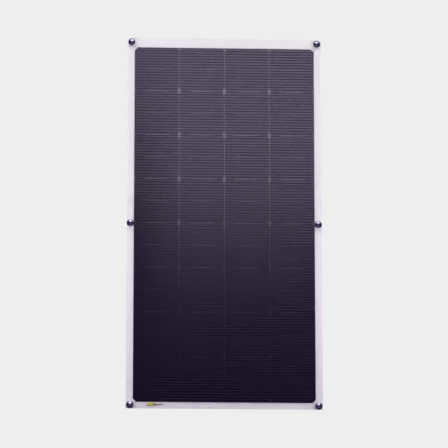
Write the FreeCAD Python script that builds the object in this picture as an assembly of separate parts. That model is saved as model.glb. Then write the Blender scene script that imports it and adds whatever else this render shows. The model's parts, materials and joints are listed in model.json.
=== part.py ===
# Flexible solar sheet: a bendable laminate of half-cut solar cells with a white border, held to
# cloth or deck by six pull-to-release lock fasteners, with a flat junction box on its rear.
# X runs to the right and Z up as the sheet is seen from its front; the front faces -Y.
# The origin is the middle of the cell field, on the flat rear face.
import FreeCAD, Part
import math
import os

from FreeCAD import Vector

os.makedirs("parts", exist_ok=True)

# ---------------------------------------------------------------- driving dimensions, in mm
WAFER = 125.0               # side of a full cell
INGOT_RADIUS = 82.3         # round ingot that rounds off the wafer's corners
COLUMNS = 4
ROWS = 8
COLUMN_GAP = 1.6            # between the cells of two columns
ROW_GAP = 1.0               # between two full cells of a column
CUT_GAP = 0.6               # between the two halves of a cut cell

SHEET_WIDTH = 545.0
TOP_MARGIN = 28.5           # white border above the cells
BOTTOM_MARGIN = 18.0        # white border below the cells
SHEET_CORNER = 3.0          # corner radius of the sheet

BACKSHEET = 0.8             # layer thicknesses, from the rear face to the front
CARRIER = 0.4
MASK = 0.1
INTERCONNECT = 0.1
CELL = 0.2
COVER_RESIN = 0.3           # encapsulant between the cells and the front film
FILM = 0.2
RIB_HEIGHT = 0.25           # lens-shaped ribs embossed in the film over the cells
RIBS_PER_ROW = 16
RIB_FACETS = 4

SEGMENT_GAP = 0.6           # free slit at each bending line
CARRIER_STRIP = 9.0         # light strip of carrier left open behind a column gap
CARRIER_SIDE = 4.5          # the same at the field's left and right edges
CARRIER_END = 9.0           # the same at its top and bottom edges
CARRIER_CORNER = 9.0        # cut off at the carrier's four corners

LINK_WIDTH = 68.0           # foil between two half cells
LINK_HEIGHT = 12.0
BUS_WIDTH = 5.0             # ribbon between two columns, and out to the box
BUS_INSET = 8.0             # of the first ribbon's middle from the field's end
LEAD_X = 32.0               # of the two leads into the junction box
LEAD_THICKNESS = 0.4
LEAD_SLOT_WIDTH = 6.0       # slit through the rear layers for a lead
LEAD_SLOT_HEIGHT = 1.2

LABEL_THICKNESS = 0.1       # two blank printed chips: (left, right, low, high)
LABEL_CHIP = (-213.0, -194.5, -516.6, -508.0)
LABEL_STRIP = (-193.0, -168.0, -513.6, -510.8)

FASTENER_PLACES = {          # X and Z of each pair, left and right of the middle
    "top": (261.0, 520.9),
    "middle": (262.4, -1.6),
    "bottom": (261.0, -514.6),
}
HOLE_RADIUS = 4.8           # through the laminate
HEAD_RADIUS = 10.0
HEAD_RIM = 3.0
HEAD_HEIGHT = 7.4           # heights count outwards from the front surface
HEAD_TOP_RADIUS = 3.9
BARREL_RADIUS = 4.7
BARREL_LENGTH = 6.1         # behind the front surface
STUD_RADIUS = 3.8           # socket for the ball stud of the mating half
SOCKET_LEAD_IN = 0.4
CHAMBER_RADIUS = 3.6        # of the spring's chamber
CHAMBER_FLOOR = 1.2
CHAMBER_TOP = 6.4
RING_RADIUS = 4.4           # spring ring that grips the stud, and the groove that it lies in
RING_BORE = 3.35
RING_LOW = 0.3
RING_HIGH = 1.1
RING_SPLIT = 2.0
GROOVE_CLEARANCE = 0.1
STEM_RADIUS = 1.5           # of the pull knob
STEM_CLEARANCE = 0.1
COLLAR_RADIUS = 3.4
COLLAR_LOW = 1.5
COLLAR_TOP = 2.3
KNOB_LOW = 7.5
KNOB_RADIUS = 4.6
KNOB_EDGE = 0.4             # chamfer below the knob
KNOB_SIDE_TOP = 9.0
KNOB_TOP = 10.6
WIRE_RADIUS = 0.35          # of the knob's spring
COIL_RADIUS = 2.85
COIL_PITCH = 1.3
SPRING_LENGTH = 4.0
SPRING_CLEARANCE = 0.05
WASHER_RADIUS = 8.0
WASHER = 0.8
NUT_RADIUS = 7.4            # round nut with a slot across for its key
NUT_TOP = 3.0               # above the rear face
NUT_CLEARANCE = 0.02
NUT_SLOT_WIDTH = 2.0
NUT_SLOT_DEPTH = 1.1

BOX_WIDTH = 108.0           # junction box
BOX_HEIGHT = 76.0
BOX_CENTRE_Z = 447.0
BOX_CORNER = 8.0
BOX_WALL = 2.2
BOX_FLOOR = 1.6
BOX_TOP = 13.0              # rim of the walls, above the rear face
ADHESIVE = 0.8
ADHESIVE_INSET = 2.0
GASKET = 0.8
LID = 2.0
LID_RAISED = 0.8            # height of the lid's raised middle
LID_RAISED_CHAMFER = 0.4
LID_RAISED_CORNER = 5.0
LID_RAISED_INSET_X = 17.0
LID_RAISED_INSET_Z = 6.0
SCREW_INSET = 6.0           # of the lid screws from the box's sides
SCREW_POST_RADIUS = 4.2
SCREW_PILOT_RADIUS = 1.3
SCREW_PILOT_FLOOR = 2.5     # left below the pilot hole
SCREW_HOLE_RADIUS = 1.7
SCREW_SINK_RADIUS = 3.2
SCREW_SINK_DEPTH = 1.0
SCREW_HEAD_RADIUS = 2.9
SCREW_HEAD = 1.6
SCREW_SHANK_RADIUS = 1.25
SCREW_SHANK = 9.0
SCREW_CROSS_LENGTH = 3.6
SCREW_CROSS_WIDTH = 0.7
SCREW_CROSS_DEPTH = 0.8
WINDOW_WIDTH = 76.0         # through the adhesive and the floor, for the leads
WINDOW_HEIGHT = 10.0
WINDOW_Z = 470.0
RAIL_WIDTH = 16.0           # contact rails and the posts below them
RAIL = 1.0
RAIL_Y = 5.0
RAIL_LOW_Z = BOX_CENTRE_Z - 14.0
RAIL_HIGH_Z = WINDOW_Z - 3.0
RAIL_HOLE_RADIUS = 1.6
RAIL_HOLE_INSET = 4.0
POST_WIDTH = 6.0
POST_HEIGHT = 24.0
DIODE_RADIUS = 2.6
DIODE_LENGTH = 9.2
DIODE_WIRE_RADIUS = 0.6
DIODE_WIRE_LENGTH = 24.0
DIODE_Z = BOX_CENTRE_Z + 4.0
LEAD_FOLD = 9.0             # length of a lead along its rail
GLAND_X = 27.0              # two cable glands in the box's lower wall
GLAND_Y = 7.6
GLAND_HEX_RADIUS = 7.4
GLAND_HEX = 3.0
GLAND_THREAD_RADIUS = 5.0
GLAND_THREAD = 5.0
GLAND_HOLE_RADIUS = 5.05
GLAND_BARREL_RADIUS = 5.5
GLAND_BORE_RADIUS = 3.3
GLAND_LENGTH = 11.0         # outside the wall, without its nut
SEAL_RADIUS = 4.15
SEAL_SEAT_RADIUS = 4.2
SEAL_LENGTH = 7.0
CABLE_RADIUS = 3.0
GLAND_NUT_RADIUS = 7.0
GLAND_NUT_END = 13.0        # far end of the nut, from the wall
GLAND_NUT_START = 3.5
GLAND_NUT_CHAMFER = 1.5
GLAND_NUT_ROOF = 2.0
GLAND_NUT_CLEARANCE = 0.03

# ---------------------------------------------------------------- worked out
COLUMN_PITCH = WAFER + COLUMN_GAP
ROW_PITCH = WAFER + CUT_GAP + ROW_GAP
FIELD_WIDTH = COLUMNS * COLUMN_PITCH - COLUMN_GAP
FIELD_HEIGHT = ROWS * ROW_PITCH - ROW_GAP
FIELD_X = FIELD_WIDTH / 2
FIELD_Z = FIELD_HEIGHT / 2
SHEET_X = SHEET_WIDTH / 2
SHEET_TOP = FIELD_Z + TOP_MARGIN
SHEET_BOTTOM = -FIELD_Z - BOTTOM_MARGIN
BEND_ROW = 2                # bending lines, in rows above and below the middle
BEND_Z = BEND_ROW * ROW_PITCH
LEAD_Z = FIELD_Z - BUS_INSET - 2 * BUS_WIDTH    # of the ribbons that feed the leads
BOX_LOW_Z = BOX_CENTRE_Z - BOX_HEIGHT / 2
BOX_FLOOR_Y = ADHESIVE + BOX_FLOOR
LID_Y = BOX_TOP + GASKET
LID_TOP = LID_Y + LID
SCREW_X = BOX_WIDTH / 2 - SCREW_INSET
SCREW_Z = BOX_HEIGHT / 2 - SCREW_INSET
SCREW_PLACES = [(sx * SCREW_X, BOX_CENTRE_Z + sz * SCREW_Z) for sx in (-1, 1) for sz in (-1, 1)]
RAIL_X = (-LEAD_X, 0.0, LEAD_X)
FAR = 1000.0                # reaches past everything, for cutting tools
OVERSHOOT = 1.0             # of a cutting tool beyond the surface that it opens

CARRIER_Y = -BACKSHEET      # rear side of each layer
MASK_Y = CARRIER_Y - CARRIER
LINK_Y = MASK_Y - MASK
CELL_Y = LINK_Y - INTERCONNECT
COVER_Y = CELL_Y - CELL
FILM_Y = COVER_Y - COVER_RESIN
FRONT_Y = FILM_Y - FILM

SEGMENTS = {
    "top": (BEND_Z + SEGMENT_GAP / 2, SHEET_TOP),
    "middle": (-BEND_Z + SEGMENT_GAP / 2, BEND_Z - SEGMENT_GAP / 2),
    "bottom": (SHEET_BOTTOM, -BEND_Z - SEGMENT_GAP / 2),
}
SEGMENT_ROWS = {
    "top": (BEND_ROW, ROWS // 2),
    "middle": (-BEND_ROW, BEND_ROW),
    "bottom": (-ROWS // 2, -BEND_ROW),
}
SIDES = {"left": -1, "right": 1}


# ---------------------------------------------------------------- helpers
def block(x0, x1, y0, y1, z0, z1):
    """A box between two values on each axis, in any order."""
    low = Vector(min(x0, x1), min(y0, y1), min(z0, z1))
    return Part.makeBox(abs(x1 - x0), abs(y1 - y0), abs(z1 - z0), low)


def rod_y(radius, x, z, y0, y1):
    """A cylinder along Y."""
    return Part.makeCylinder(radius, abs(y1 - y0), Vector(x, min(y0, y1), z), Vector(0, 1, 0))


def rod_x(radius, x0, x1, y, z):
    return Part.makeCylinder(radius, x1 - x0, Vector(x0, y, z), Vector(1, 0, 0))


def rod_z(radius, x, y, z0, z1):
    return Part.makeCylinder(radius, z1 - z0, Vector(x, y, z0), Vector(0, 0, 1))


def rounded_block(width, height, x, z, y0, y1, radius):
    """A plate across Y with four rounded corners."""
    plate = block(x - width / 2, x + width / 2, y0, y1, z - height / 2, z + height / 2)
    upright = [e for e in plate.Edges if abs(e.tangentAt(e.FirstParameter).y) > 0.9]
    return plate.makeFillet(radius, upright)


def turned(points, x, z, arcs=()):
    """Turn a closed outline of (radius, height) about a fastener's axis.

    Height counts outwards from the front surface. An index in arcs makes the edge that starts
    at that point part of a circle centred on the axis.
    """
    edges = []
    for i, start in enumerate(points):
        end = points[(i + 1) % len(points)]
        a = Vector(start[0], FRONT_Y - start[1], 0)
        b = Vector(end[0], FRONT_Y - end[1], 0)
        if i in arcs:
            centre = (b.x ** 2 + b.y ** 2 - a.x ** 2 - a.y ** 2) / (2 * (b.y - a.y))
            radius = math.hypot(a.x, a.y - centre)
            chord = (a + b) / 2 - Vector(0, centre, 0)
            middle = Vector(0, centre, 0) + chord * (radius / chord.Length)
            edges.append(Part.Arc(a, middle, b).toShape())
        else:
            edges.append(Part.LineSegment(a, b).toShape())
    face = Part.Face(Part.Wire(edges))
    solid = face.revolve(Vector(0, 0, 0), Vector(0, 1, 0), 360)
    solid.translate(Vector(x, 0, z))
    return solid


def segment_part(shape, name):
    """The stretch of a full-height layer that belongs to one segment."""
    low, high = SEGMENTS[name]
    return shape.common(block(-FAR, FAR, -FAR, FAR, low, high))


def segment_of(z):
    """The segment that a height lies in."""
    return next(name for name, (low, high) in SEGMENTS.items() if low <= z <= high)


def save(name, solids):
    """Write one node; a list of solids becomes a group."""
    shape = Part.makeCompound(solids) if isinstance(solids, list) else solids
    shape.exportStep("parts/" + name + ".step")


def column_x(column):
    return (column - (COLUMNS - 1) / 2) * COLUMN_PITCH


# ---------------------------------------------------------------- laminate
def lead_slots(shape):
    """Cut the two slits through which the leads reach the junction box."""
    half_width, half_height = LEAD_SLOT_WIDTH / 2, LEAD_SLOT_HEIGHT / 2
    for x in (-LEAD_X, LEAD_X):
        slot = block(x - half_width, x + half_width, OVERSHOOT, LINK_Y,
                     WINDOW_Z - half_height, WINDOW_Z + half_height)
        shape = shape.cut(slot)
    return shape


def fastener_holes(shape):
    for x, z in FASTENER_PLACES.values():
        for side in SIDES.values():
            shape = shape.cut(rod_y(HOLE_RADIUS, side * x, z, -FAR, FAR))
    return shape


def full_layer(y0, y1):
    """A full-size layer of the sheet with its rounded corners and fastener holes."""
    middle = (SHEET_TOP + SHEET_BOTTOM) / 2
    height = SHEET_TOP - SHEET_BOTTOM
    return fastener_holes(rounded_block(SHEET_WIDTH, height, 0, middle, y0, y1, SHEET_CORNER))


def rib_block(first_row, last_row):
    """Lens-shaped ribs across the cell field, each in flat facets, between two row lines."""
    pitch = ROW_PITCH / RIBS_PER_ROW
    inner = FRONT_Y + FILM / 2
    outline = [Vector(-FIELD_X, inner, first_row * ROW_PITCH)]
    for i in range((last_row - first_row) * RIBS_PER_ROW * RIB_FACETS + 1):
        across = (i % RIB_FACETS) / RIB_FACETS
        bulge = RIB_HEIGHT * 4 * across * (1 - across)
        z = first_row * ROW_PITCH + i * pitch / RIB_FACETS
        outline.append(Vector(-FIELD_X, FRONT_Y - bulge, z))
    outline.append(Vector(-FIELD_X, inner, last_row * ROW_PITCH))
    outline.append(outline[0])
    return Part.Face(Part.makePolygon(outline)).extrude(Vector(FIELD_WIDTH, 0, 0))


def make_films(name):
    """Clear ribbed front film, the resin below it and the white backsheet of one segment."""
    film = full_layer(FILM_Y, FRONT_Y).fuse(rib_block(*SEGMENT_ROWS[name]))
    save("front_film_" + name, segment_part(film, name).removeSplitter())

    resin = full_layer(CARRIER_Y, FILM_Y)
    pocket = block(-FIELD_X, FIELD_X, CARRIER_Y, COVER_Y, -FIELD_Z, FIELD_Z)
    save("encapsulant_" + name, segment_part(resin.cut(pocket), name))

    save("backsheet_" + name, segment_part(lead_slots(full_layer(0, CARRIER_Y)), name))


def make_carrier(name):
    """Light carrier sheet behind the cells, and the dark mask strips on it."""
    carrier = block(-FIELD_X, FIELD_X, CARRIER_Y, MASK_Y, -FIELD_Z, FIELD_Z)
    corners = [e for e in carrier.Edges if abs(e.tangentAt(e.FirstParameter).y) > 0.9]
    carrier = carrier.makeChamfer(CARRIER_CORNER, corners)
    save("carrier_sheet_" + name, segment_part(lead_slots(carrier), name))

    strips = []
    for column in range(COLUMNS):
        left = column_x(column) - COLUMN_PITCH / 2 + CARRIER_STRIP / 2
        right = column_x(column) + COLUMN_PITCH / 2 - CARRIER_STRIP / 2
        left = max(left, -FIELD_X + CARRIER_SIDE)
        right = min(right, FIELD_X - CARRIER_SIDE)
        end = FIELD_Z - CARRIER_END
        strip = lead_slots(block(left, right, MASK_Y, LINK_Y, -end, end))
        strips.append(segment_part(strip, name))
    save("dark_mask_" + name, strips)


def half_wafers():
    """The upper and the lower half of a cut pseudo-square cell, centred on the full cell."""
    side = WAFER / 2
    wafer = block(-side, side, CELL_Y, COVER_Y, -side, side)
    wafer = wafer.common(rod_y(INGOT_RADIUS, 0, 0, CELL_Y, COVER_Y))
    upper = wafer.common(block(-side, side, -FAR, FAR, 0, side))
    lower = wafer.common(block(-side, side, -FAR, FAR, -side, 0))
    upper.translate(Vector(0, 0, CUT_GAP / 2))
    lower.translate(Vector(0, 0, -CUT_GAP / 2))
    return upper, lower


def make_cells():
    """All half cells, grouped by the segment that they lie in."""
    groups = {name: [] for name in SEGMENTS}
    halves = half_wafers()
    for row in range(ROWS):
        z = ((ROWS - 1) / 2 - row) * ROW_PITCH
        for column in range(COLUMNS):
            for half in halves:
                cell = half.copy()
                cell.translate(Vector(column_x(column), 0, z))
                groups[segment_of(z)].append(cell)
    for name, cells in groups.items():
        save("half_cells_" + name, cells)


def link_foils():
    """Foils that join the half cells of a column across each gap, cut at the bending lines."""
    foils = []
    cut = block(-FAR, FAR, -FAR, FAR, BEND_Z - SEGMENT_GAP / 2, BEND_Z + SEGMENT_GAP / 2)
    mirror = cut.copy()
    mirror.translate(Vector(0, 0, -2 * BEND_Z))
    for step in range(1, 2 * ROWS):
        z = (ROWS - step) * ROW_PITCH / 2
        for column in range(COLUMNS):
            x = column_x(column)
            foil = block(x - LINK_WIDTH / 2, x + LINK_WIDTH / 2, LINK_Y, CELL_Y,
                         z - LINK_HEIGHT / 2, z + LINK_HEIGHT / 2)
            foils += foil.cut(cut).cut(mirror).Solids
    return foils


def bus_ribbons():
    """Ribbons that join the columns at their ends, and two that bring the ends to the leads."""
    outer, inner = column_x(0), column_x(1)
    z = FIELD_Z - BUS_INSET
    half = BUS_WIDTH / 2
    end = LEAD_X - half
    return [
        block(outer, -end, LINK_Y, CELL_Y, LEAD_Z - half, LEAD_Z + half),
        block(end, -outer, LINK_Y, CELL_Y, LEAD_Z - half, LEAD_Z + half),
        block(inner, -inner, LINK_Y, CELL_Y, z - half, z + half),
        block(outer, inner, LINK_Y, CELL_Y, -z - half, -z + half),
        block(-inner, -outer, LINK_Y, CELL_Y, -z - half, -z + half),
    ]


def make_interconnects():
    groups = {name: [] for name in SEGMENTS}
    for foil in link_foils() + bus_ribbons():
        groups[segment_of(foil.CenterOfMass.z)].append(foil)
    for name, foils in groups.items():
        save("interconnects_" + name, foils)


def make_label():
    """Two blank printed chips in the lower left border."""
    chips = []
    for left, right, low, high in (LABEL_CHIP, LABEL_STRIP):
        chips.append(block(left, right, FRONT_Y, FRONT_Y - LABEL_THICKNESS, low, high))
    save("type_label", chips)


# ---------------------------------------------------------------- fasteners
def fastener_housing(x, z):
    """Domed cap with its barrel; the ball stud of the mating half enters from the rear."""
    stem_hole = STEM_RADIUS + STEM_CLEARANCE
    groove = RING_RADIUS + GROOVE_CLEARANCE
    groove_low = RING_LOW - GROOVE_CLEARANCE
    groove_high = RING_HIGH + GROOVE_CLEARANCE
    points = [(STUD_RADIUS, groove_low),
              (STUD_RADIUS, SOCKET_LEAD_IN - BARREL_LENGTH),
              (STUD_RADIUS + SOCKET_LEAD_IN, -BARREL_LENGTH),
              (BARREL_RADIUS, -BARREL_LENGTH),
              (BARREL_RADIUS, 0),
              (HEAD_RADIUS, 0),
              (HEAD_RADIUS, HEAD_RIM),
              (HEAD_TOP_RADIUS, HEAD_HEIGHT),
              (stem_hole, HEAD_HEIGHT),
              (stem_hole, CHAMBER_TOP),
              (CHAMBER_RADIUS, CHAMBER_TOP),
              (CHAMBER_RADIUS, CHAMBER_FLOOR),
              (groove, groove_high),
              (groove, groove_low)]
    return turned(points, x, z, arcs=(points.index((HEAD_RADIUS, HEAD_RIM)),))


def pull_knob(x, z):
    """Knob, stem and inner collar in one turned piece; it is pulled out to let the stud go."""
    points = [(0, COLLAR_LOW),
              (COLLAR_RADIUS, COLLAR_LOW),
              (COLLAR_RADIUS, COLLAR_TOP),
              (STEM_RADIUS, COLLAR_TOP),
              (STEM_RADIUS, KNOB_LOW),
              (KNOB_RADIUS - KNOB_EDGE, KNOB_LOW),
              (KNOB_RADIUS, KNOB_LOW + KNOB_EDGE),
              (KNOB_RADIUS, KNOB_SIDE_TOP),
              (0, KNOB_TOP)]
    return turned(points, x, z, arcs=(points.index((KNOB_RADIUS, KNOB_SIDE_TOP)),))


def knob_spring(x, z):
    """Coil spring between the knob's collar and the cap."""
    helix = Part.makeHelix(COIL_PITCH, SPRING_LENGTH - 2 * WIRE_RADIUS, COIL_RADIUS)
    section = Part.Wire(Part.makeCircle(WIRE_RADIUS, Vector(COIL_RADIUS, 0, 0), Vector(0, 1, 0)))
    coil = Part.Wire(helix.Edges).makePipeShell([section], True, True)
    coil.rotate(Vector(0, 0, 0), Vector(1, 0, 0), 90)
    coil.translate(Vector(x, FRONT_Y - COLLAR_TOP - SPRING_CLEARANCE - WIRE_RADIUS, z))
    return coil


def lock_ring(x, z):
    """Split spring ring that grips the neck of the stud."""
    ring = rod_y(RING_RADIUS, x, z, FRONT_Y - RING_LOW, FRONT_Y - RING_HIGH)
    ring = ring.cut(rod_y(RING_BORE, x, z, -FAR, FAR))
    return ring.cut(block(x - RING_SPLIT / 2, x + RING_SPLIT / 2, -FAR, FAR, z - RING_RADIUS, z))


def washer(x, z):
    return rod_y(WASHER_RADIUS, x, z, 0, WASHER).cut(rod_y(HOLE_RADIUS, x, z, -FAR, FAR))


def slotted_nut(x, z):
    """Round nut behind the washer, with a slot across it for its key."""
    nut = rod_y(NUT_RADIUS, x, z, WASHER, NUT_TOP)
    nut = nut.cut(rod_y(BARREL_RADIUS + NUT_CLEARANCE, x, z, -FAR, FAR))
    return nut.cut(block(x - NUT_RADIUS, x + NUT_RADIUS, NUT_TOP - NUT_SLOT_DEPTH,
                         NUT_TOP + OVERSHOOT, z - NUT_SLOT_WIDTH / 2, z + NUT_SLOT_WIDTH / 2))


def make_fasteners():
    grouped = {"fastener_housings": fastener_housing, "lock_rings": lock_ring,
               "washers": washer, "slotted_nuts": slotted_nut}
    for level, (x, z) in FASTENER_PLACES.items():
        for node, make in grouped.items():
            save(node + "_" + level, [make(side * x, z) for side in SIDES.values()])
        for name, side in SIDES.items():
            save("pull_knob_" + level + "_" + name, pull_knob(side * x, z))
            save("knob_spring_" + level + "_" + name, knob_spring(side * x, z))


# ---------------------------------------------------------------- junction box
def window_cut(shape):
    """Open the window through which the leads come in from the laminate."""
    window = block(-WINDOW_WIDTH / 2, WINDOW_WIDTH / 2, -OVERSHOOT, BOX_FLOOR_Y,
                   WINDOW_Z - WINDOW_HEIGHT / 2, WINDOW_Z + WINDOW_HEIGHT / 2)
    return shape.cut(window)


def box_plate(inset_x, inset_z, y0, y1, corner):
    """A rounded plate that stays a distance inside the box's outline."""
    return rounded_block(BOX_WIDTH - 2 * inset_x, BOX_HEIGHT - 2 * inset_z, 0, BOX_CENTRE_Z,
                         y0, y1, corner)


def box_wall(y0, y1):
    """The ring that the walls of the box stand on, between two heights."""
    outer = box_plate(0, 0, y0, y1, BOX_CORNER)
    return outer.cut(box_plate(BOX_WALL, BOX_WALL, y0, y1, BOX_CORNER - BOX_WALL))


def box_base():
    """Floor, walls, screw posts and the posts of the contact rails, moulded in one."""
    base = box_plate(0, 0, ADHESIVE, BOX_FLOOR_Y, BOX_CORNER)
    base = base.fuse(box_wall(ADHESIVE, BOX_TOP))
    for x, z in SCREW_PLACES:
        base = base.fuse(rod_y(SCREW_POST_RADIUS, x, z, ADHESIVE, BOX_TOP))
    for x in RAIL_X:
        base = base.fuse(block(x - POST_WIDTH / 2, x + POST_WIDTH / 2, ADHESIVE, RAIL_Y,
                               BOX_CENTRE_Z - POST_HEIGHT / 2, BOX_CENTRE_Z + POST_HEIGHT / 2))
    pilot_y = ADHESIVE + SCREW_PILOT_FLOOR
    for x, z in SCREW_PLACES:
        base = base.cut(rod_y(SCREW_PILOT_RADIUS, x, z, pilot_y, BOX_TOP + OVERSHOOT))
    for x in (-GLAND_X, GLAND_X):
        base = base.cut(rod_z(GLAND_HOLE_RADIUS, x, GLAND_Y, BOX_LOW_Z - OVERSHOOT,
                              BOX_LOW_Z + BOX_WALL + OVERSHOOT))
    return window_cut(base).removeSplitter()


def box_lid():
    """Flat lid with a raised middle and four counterbored screw holes."""
    lid = box_plate(0, 0, LID_Y, LID_TOP, BOX_CORNER)
    lid = lid.fuse(box_plate(LID_RAISED_INSET_X, LID_RAISED_INSET_Z, LID_TOP,
                             LID_TOP + LID_RAISED, LID_RAISED_CORNER))
    for x, z in SCREW_PLACES:
        lid = lid.cut(rod_y(SCREW_HOLE_RADIUS, x, z, 0, FAR))
        lid = lid.cut(rod_y(SCREW_SINK_RADIUS, x, z, LID_TOP - SCREW_SINK_DEPTH, FAR))
    top = LID_TOP + LID_RAISED
    rim = [e for e in lid.Edges if abs(e.CenterOfMass.y - top) < 1e-6]
    return lid.makeChamfer(LID_RAISED_CHAMFER, rim)


def lid_screw(x, z):
    """Pan-head screw with a cross recess."""
    seat = LID_TOP - SCREW_SINK_DEPTH
    top = seat + SCREW_HEAD
    head = rod_y(SCREW_HEAD_RADIUS, x, z, seat, top)
    shank = rod_y(SCREW_SHANK_RADIUS, x, z, seat - SCREW_SHANK, seat)
    long, thin = SCREW_CROSS_LENGTH / 2, SCREW_CROSS_WIDTH / 2
    floor = top - SCREW_CROSS_DEPTH
    cross = block(x - long, x + long, floor, FAR, z - thin, z + thin)
    cross = cross.fuse(block(x - thin, x + thin, floor, FAR, z - long, z + long))
    return head.fuse(shank).cut(cross).removeSplitter()


def box_gasket():
    """Rubber ring on the rim of the walls, with an eye on each screw post."""
    gasket = box_wall(BOX_TOP, LID_Y)
    for x, z in SCREW_PLACES:
        gasket = gasket.fuse(rod_y(SCREW_POST_RADIUS, x, z, BOX_TOP, LID_Y))
        gasket = gasket.cut(rod_y(SCREW_HOLE_RADIUS, x, z, 0, FAR))
    return gasket.removeSplitter()


def box_adhesive():
    """Foam tape between the laminate and the box."""
    return window_cut(box_plate(ADHESIVE_INSET, ADHESIVE_INSET, 0, ADHESIVE,
                                BOX_CORNER - ADHESIVE_INSET))


def contact_rail(x):
    """Brass rail on its post, with a hole for the clamped lead's rivet."""
    rail = block(x - RAIL_WIDTH / 2, x + RAIL_WIDTH / 2, RAIL_Y, RAIL_Y + RAIL,
                 RAIL_LOW_Z, RAIL_HIGH_Z)
    return rail.cut(rod_y(RAIL_HOLE_RADIUS, x, RAIL_LOW_Z + RAIL_HOLE_INSET, RAIL_Y, FAR))


def bypass_diode(x):
    """Axial diode whose wires rest on two rails."""
    y = RAIL_Y + RAIL + DIODE_WIRE_RADIUS
    wire = rod_x(DIODE_WIRE_RADIUS, x - DIODE_WIRE_LENGTH / 2, x + DIODE_WIRE_LENGTH / 2,
                 y, DIODE_Z)
    return wire.fuse(rod_x(DIODE_RADIUS, x - DIODE_LENGTH / 2, x + DIODE_LENGTH / 2, y, DIODE_Z))


def bus_lead(x):
    """Ribbon from the laminate through its slit into the box, bent over onto a rail."""
    half = BUS_WIDTH / 2
    rail_top = RAIL_Y + RAIL
    low, high = WINDOW_Z - LEAD_THICKNESS / 2, WINDOW_Z + LEAD_THICKNESS / 2
    inner = block(x - half, x + half, LINK_Y, CELL_Y, low, LEAD_Z - half)
    through = block(x - half, x + half, CELL_Y, rail_top + LEAD_THICKNESS, low, high)
    outer = block(x - half, x + half, rail_top, rail_top + LEAD_THICKNESS,
                  WINDOW_Z - LEAD_FOLD, high)
    return inner.fuse([through, outer]).removeSplitter()


def cable_gland(x):
    """Gland body: thread through the wall, hexagon flange and the barrel for the nut."""
    corners = []
    for corner in range(7):
        angle = corner * math.pi / 3
        corners.append(Vector(x + GLAND_HEX_RADIUS * math.cos(angle),
                              GLAND_Y + GLAND_HEX_RADIUS * math.sin(angle), BOX_LOW_Z))
    hexagon = Part.Face(Part.makePolygon(corners)).extrude(Vector(0, 0, -GLAND_HEX))
    end = BOX_LOW_Z - GLAND_LENGTH
    body = hexagon.fuse([
        rod_z(GLAND_THREAD_RADIUS, x, GLAND_Y, BOX_LOW_Z, BOX_LOW_Z + GLAND_THREAD),
        rod_z(GLAND_BARREL_RADIUS, x, GLAND_Y, end, BOX_LOW_Z - GLAND_HEX)])
    body = body.cut(rod_z(GLAND_BORE_RADIUS, x, GLAND_Y, -FAR, FAR))
    seat = rod_z(SEAL_SEAT_RADIUS, x, GLAND_Y, end - OVERSHOOT, end + SEAL_LENGTH)
    return body.cut(seat).removeSplitter()


def gland_seal(x):
    """Rubber sleeve that closes on the cable."""
    end = BOX_LOW_Z - GLAND_LENGTH
    seal = rod_z(SEAL_RADIUS, x, GLAND_Y, end, end + SEAL_LENGTH)
    return seal.cut(rod_z(CABLE_RADIUS, x, GLAND_Y, -FAR, FAR))


def gland_nut(x):
    """Domed cap nut that squeezes the seal."""
    low, high = BOX_LOW_Z - GLAND_NUT_END, BOX_LOW_Z - GLAND_NUT_START
    nut = rod_z(GLAND_NUT_RADIUS, x, GLAND_Y, low, high)
    rim = [e for e in nut.Edges if abs(e.CenterOfMass.z - low) < 1e-6]
    nut = nut.makeChamfer(GLAND_NUT_CHAMFER, rim)
    nut = nut.cut(rod_z(GLAND_BARREL_RADIUS + GLAND_NUT_CLEARANCE, x, GLAND_Y,
                        low + GLAND_NUT_ROOF, high + OVERSHOOT))
    return nut.cut(rod_z(GLAND_BORE_RADIUS, x, GLAND_Y, -FAR, FAR))


def make_junction_box():
    save("box_base", box_base())
    save("box_lid", box_lid())
    save("box_gasket", box_gasket())
    save("box_adhesive", box_adhesive())
    save("lid_screws", [lid_screw(x, z) for x, z in SCREW_PLACES])
    save("contact_rails", [contact_rail(x) for x in RAIL_X])
    save("bypass_diodes", [bypass_diode(x) for x in (-LEAD_X / 2, LEAD_X / 2)])
    save("bus_leads", [bus_lead(x) for x in (-LEAD_X, LEAD_X)])
    save("gland_seals", [gland_seal(x) for x in (-GLAND_X, GLAND_X)])
    for name, side in SIDES.items():
        save("cable_gland_" + name, cable_gland(side * GLAND_X))
        save("gland_nut_" + name, gland_nut(side * GLAND_X))


# ---------------------------------------------------------------- build
for segment in SEGMENTS:
    make_films(segment)
    make_carrier(segment)
make_cells()
make_interconnects()
make_label()
make_fasteners()
make_junction_box()
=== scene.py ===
import json
import math

import bmesh
import bpy
from mathutils import Matrix, Vector, geometry, noise

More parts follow.
